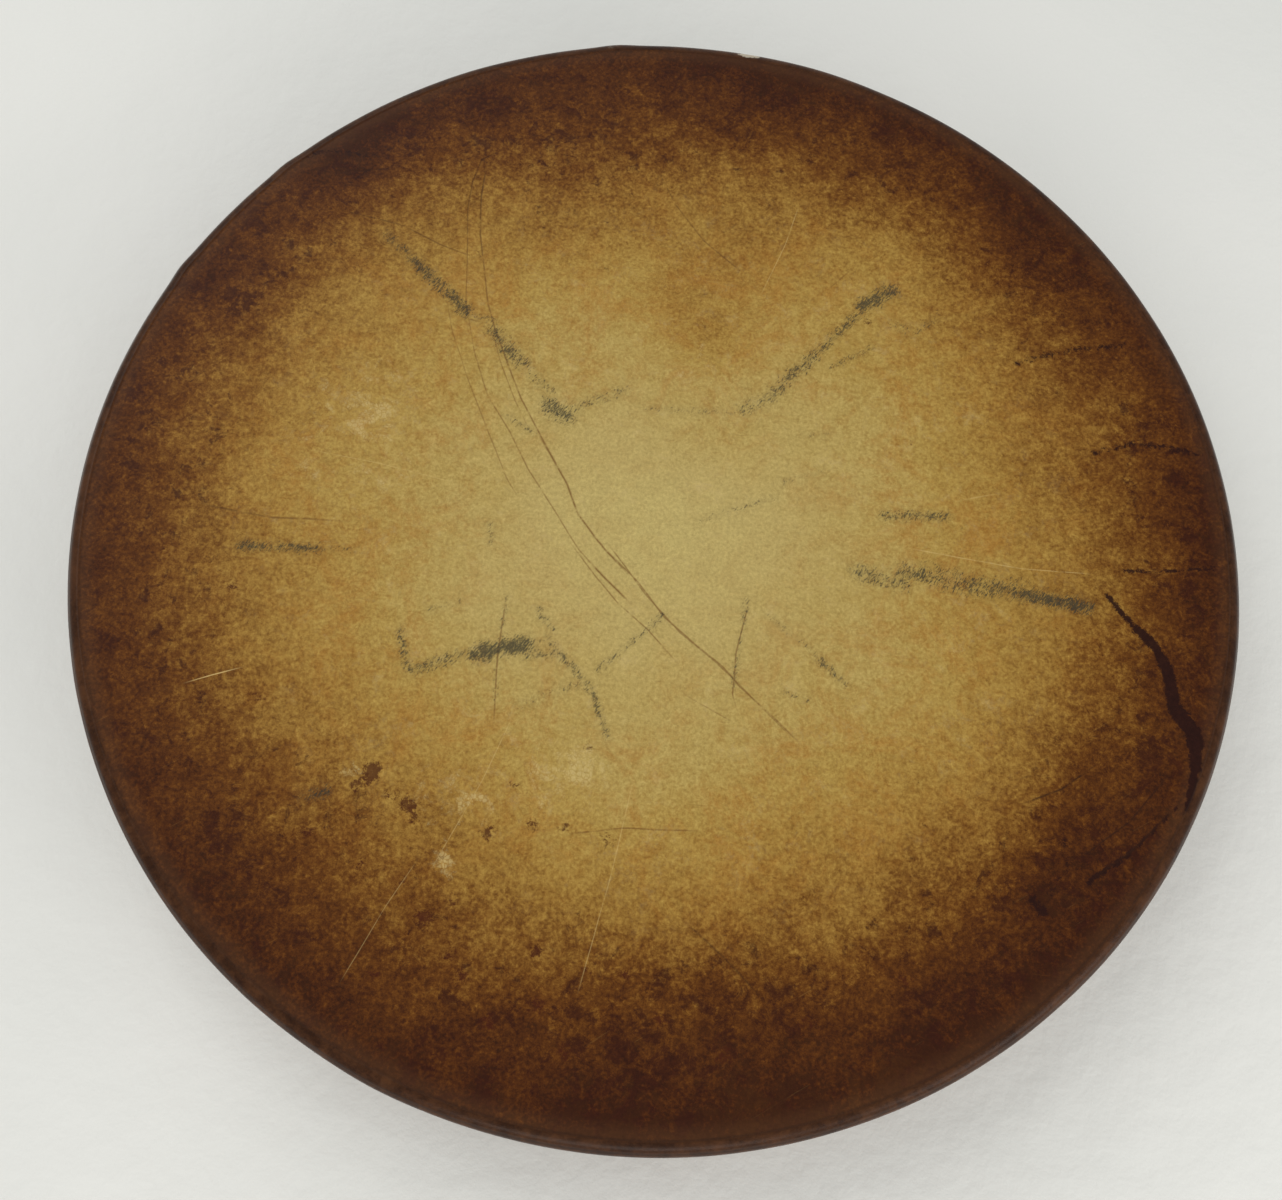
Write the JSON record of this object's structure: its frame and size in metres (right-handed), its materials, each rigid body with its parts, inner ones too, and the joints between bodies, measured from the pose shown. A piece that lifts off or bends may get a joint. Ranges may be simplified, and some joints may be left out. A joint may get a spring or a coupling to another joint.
{
  "type": "tambourine",
  "caption": "Round frame drum tambourine: a dark hide head glued over a bent wooden hoop, with loose metal rings hung round the inside.",
  "frame": {"origin": "centre of the open back edge's plane, on the drum's axis, so that the drum lies on its back edge with the head up", "axes": "+Z along the drum's axis, from the open back to the hide head; +X and +Y across the head"},
  "size_m": [0.4299, 0.43, 0.055],
  "materials": {
    "hoop_wood": "worn, dark, hand-rubbed",
    "hide": "old dried hide, golden in the middle, nearly black-brown at the edge, satin",
    "eye_iron": "dark forged wire, lightly rusted",
    "nail_iron": "dark iron, rubbed on the heads",
    "ring_brass": "aged brass wire with brown patina, bright where it rubs"
  },
  "bodies": {
    "drum": {"hoop": "hoop_wood", "hide_head": "hide", "eye_pins": "eye_iron", "scarf_nails": "nail_iron"},
    "ring_01": {"ring_01": "ring_brass"},
    "ring_02": {"ring_02": "ring_brass"},
    "ring_03": {"ring_03": "ring_brass"},
    "ring_04": {"ring_04": "ring_brass"},
    "ring_05": {"ring_05": "ring_brass"},
    "ring_06": {"ring_06": "ring_brass"},
    "ring_07": {"ring_07": "ring_brass"},
    "ring_08": {"ring_08": "ring_brass"},
    "ring_09": {"ring_09": "ring_brass"},
    "ring_10": {"ring_10": "ring_brass"},
    "ring_11": {"ring_11": "ring_brass"},
    "ring_12": {"ring_12": "ring_brass"},
    "ring_13": {"ring_13": "ring_brass"},
    "ring_14": {"ring_14": "ring_brass"},
    "ring_15": {"ring_15": "ring_brass"},
    "ring_16": {"ring_16": "ring_brass"},
    "ring_17": {"ring_17": "ring_brass"},
    "ring_18": {"ring_18": "ring_brass"},
    "ring_19": {"ring_19": "ring_brass"},
    "ring_20": {"ring_20": "ring_brass"},
    "ring_21": {"ring_21": "ring_brass"},
    "ring_22": {"ring_22": "ring_brass"},
    "ring_23": {"ring_23": "ring_brass"},
    "ring_24": {"ring_24": "ring_brass"},
    "ring_25": {"ring_25": "ring_brass"},
    "ring_26": {"ring_26": "ring_brass"},
    "ring_27": {"ring_27": "ring_brass"},
    "ring_28": {"ring_28": "ring_brass"}
  },
  "joints": [
    {"name": "ring_01_swing", "type": "hinge", "parent": "drum", "child": "ring_01", "pos_m": [0.19606, 0.02209, 0.03252], "axis": [-0.112, 0.9937, 0], "range_deg": [-9, 132]},
    {"name": "ring_02_swing", "type": "hinge", "parent": "drum", "child": "ring_02", "pos_m": [0.18623, 0.06516, 0.03252], "axis": [-0.3303, 0.9439, 0], "range_deg": [-9, 132]},
    {"name": "ring_03_swing", "type": "hinge", "parent": "drum", "child": "ring_03", "pos_m": [0.16706, 0.10497, 0.03252], "axis": [-0.532, 0.8467, 0], "range_deg": [-9, 132]},
    {"name": "ring_04_swing", "type": "hinge", "parent": "drum", "child": "ring_04", "pos_m": [0.13951, 0.13951, 0.03252], "axis": [-0.7071, 0.7071, 0], "range_deg": [-9, 132]},
    {"name": "ring_05_swing", "type": "hinge", "parent": "drum", "child": "ring_05", "pos_m": [0.10497, 0.16706, 0.03252], "axis": [-0.8467, 0.532, 0], "range_deg": [-9, 132]},
    {"name": "ring_06_swing", "type": "hinge", "parent": "drum", "child": "ring_06", "pos_m": [0.06516, 0.18623, 0.03252], "axis": [-0.9439, 0.3303, 0], "range_deg": [-9, 132]},
    {"name": "ring_07_swing", "type": "hinge", "parent": "drum", "child": "ring_07", "pos_m": [0.02209, 0.19606, 0.03252], "axis": [-0.9937, 0.112, 0], "range_deg": [-9, 132]},
    {"name": "ring_08_swing", "type": "hinge", "parent": "drum", "child": "ring_08", "pos_m": [-0.02209, 0.19606, 0.03252], "axis": [-0.9937, -0.112, 0], "range_deg": [-9, 132]},
    {"name": "ring_09_swing", "type": "hinge", "parent": "drum", "child": "ring_09", "pos_m": [-0.06516, 0.18623, 0.03252], "axis": [-0.9439, -0.3303, 0], "range_deg": [-9, 132]},
    {"name": "ring_10_swing", "type": "hinge", "parent": "drum", "child": "ring_10", "pos_m": [-0.10497, 0.16706, 0.03252], "axis": [-0.8467, -0.532, 0], "range_deg": [-9, 132]},
    {"name": "ring_11_swing", "type": "hinge", "parent": "drum", "child": "ring_11", "pos_m": [-0.13951, 0.13951, 0.03252], "axis": [-0.7071, -0.7071, 0], "range_deg": [-9, 132]},
    {"name": "ring_12_swing", "type": "hinge", "parent": "drum", "child": "ring_12", "pos_m": [-0.16706, 0.10497, 0.03252], "axis": [-0.532, -0.8467, 0], "range_deg": [-9, 132]},
    {"name": "ring_13_swing", "type": "hinge", "parent": "drum", "child": "ring_13", "pos_m": [-0.18623, 0.06516, 0.03252], "axis": [-0.3303, -0.9439, 0], "range_deg": [-9, 132]},
    {"name": "ring_14_swing", "type": "hinge", "parent": "drum", "child": "ring_14", "pos_m": [-0.19606, 0.02209, 0.03252], "axis": [-0.112, -0.9937, 0], "range_deg": [-9, 132]},
    {"name": "ring_15_swing", "type": "hinge", "parent": "drum", "child": "ring_15", "pos_m": [-0.19606, -0.02209, 0.03252], "axis": [0.112, -0.9937, 0], "range_deg": [-9, 132]},
    {"name": "ring_16_swing", "type": "hinge", "parent": "drum", "child": "ring_16", "pos_m": [-0.18623, -0.06516, 0.03252], "axis": [0.3303, -0.9439, 0], "range_deg": [-9, 132]},
    {"name": "ring_17_swing", "type": "hinge", "parent": "drum", "child": "ring_17", "pos_m": [-0.16706, -0.10497, 0.03252], "axis": [0.532, -0.8467, 0], "range_deg": [-9, 132]},
    {"name": "ring_18_swing", "type": "hinge", "parent": "drum", "child": "ring_18", "pos_m": [-0.13951, -0.13951, 0.03252], "axis": [0.7071, -0.7071, 0], "range_deg": [-9, 132]},
    {"name": "ring_19_swing", "type": "hinge", "parent": "drum", "child": "ring_19", "pos_m": [-0.10497, -0.16706, 0.03252], "axis": [0.8467, -0.532, 0], "range_deg": [-9, 132]},
    {"name": "ring_20_swing", "type": "hinge", "parent": "drum", "child": "ring_20", "pos_m": [-0.06516, -0.18623, 0.03252], "axis": [0.9439, -0.3303, 0], "range_deg": [-9, 132]},
    {"name": "ring_21_swing", "type": "hinge", "parent": "drum", "child": "ring_21", "pos_m": [-0.02209, -0.19606, 0.03252], "axis": [0.9937, -0.112, 0], "range_deg": [-9, 132]},
    {"name": "ring_22_swing", "type": "hinge", "parent": "drum", "child": "ring_22", "pos_m": [0.02209, -0.19606, 0.03252], "axis": [0.9937, 0.112, 0], "range_deg": [-9, 132]},
    {"name": "ring_23_swing", "type": "hinge", "parent": "drum", "child": "ring_23", "pos_m": [0.06516, -0.18623, 0.03252], "axis": [0.9439, 0.3303, 0], "range_deg": [-9, 132]},
    {"name": "ring_24_swing", "type": "hinge", "parent": "drum", "child": "ring_24", "pos_m": [0.10497, -0.16706, 0.03252], "axis": [0.8467, 0.532, 0], "range_deg": [-9, 132]},
    {"name": "ring_25_swing", "type": "hinge", "parent": "drum", "child": "ring_25", "pos_m": [0.13951, -0.13951, 0.03252], "axis": [0.7071, 0.7071, 0], "range_deg": [-9, 132]},
    {"name": "ring_26_swing", "type": "hinge", "parent": "drum", "child": "ring_26", "pos_m": [0.16706, -0.10497, 0.03252], "axis": [0.532, 0.8467, 0], "range_deg": [-9, 132]},
    {"name": "ring_27_swing", "type": "hinge", "parent": "drum", "child": "ring_27", "pos_m": [0.18623, -0.06516, 0.03252], "axis": [0.3303, 0.9439, 0], "range_deg": [-9, 132]},
    {"name": "ring_28_swing", "type": "hinge", "parent": "drum", "child": "ring_28", "pos_m": [0.19606, -0.02209, 0.03252], "axis": [0.112, 0.9937, 0], "range_deg": [-9, 132]}
  ]
}
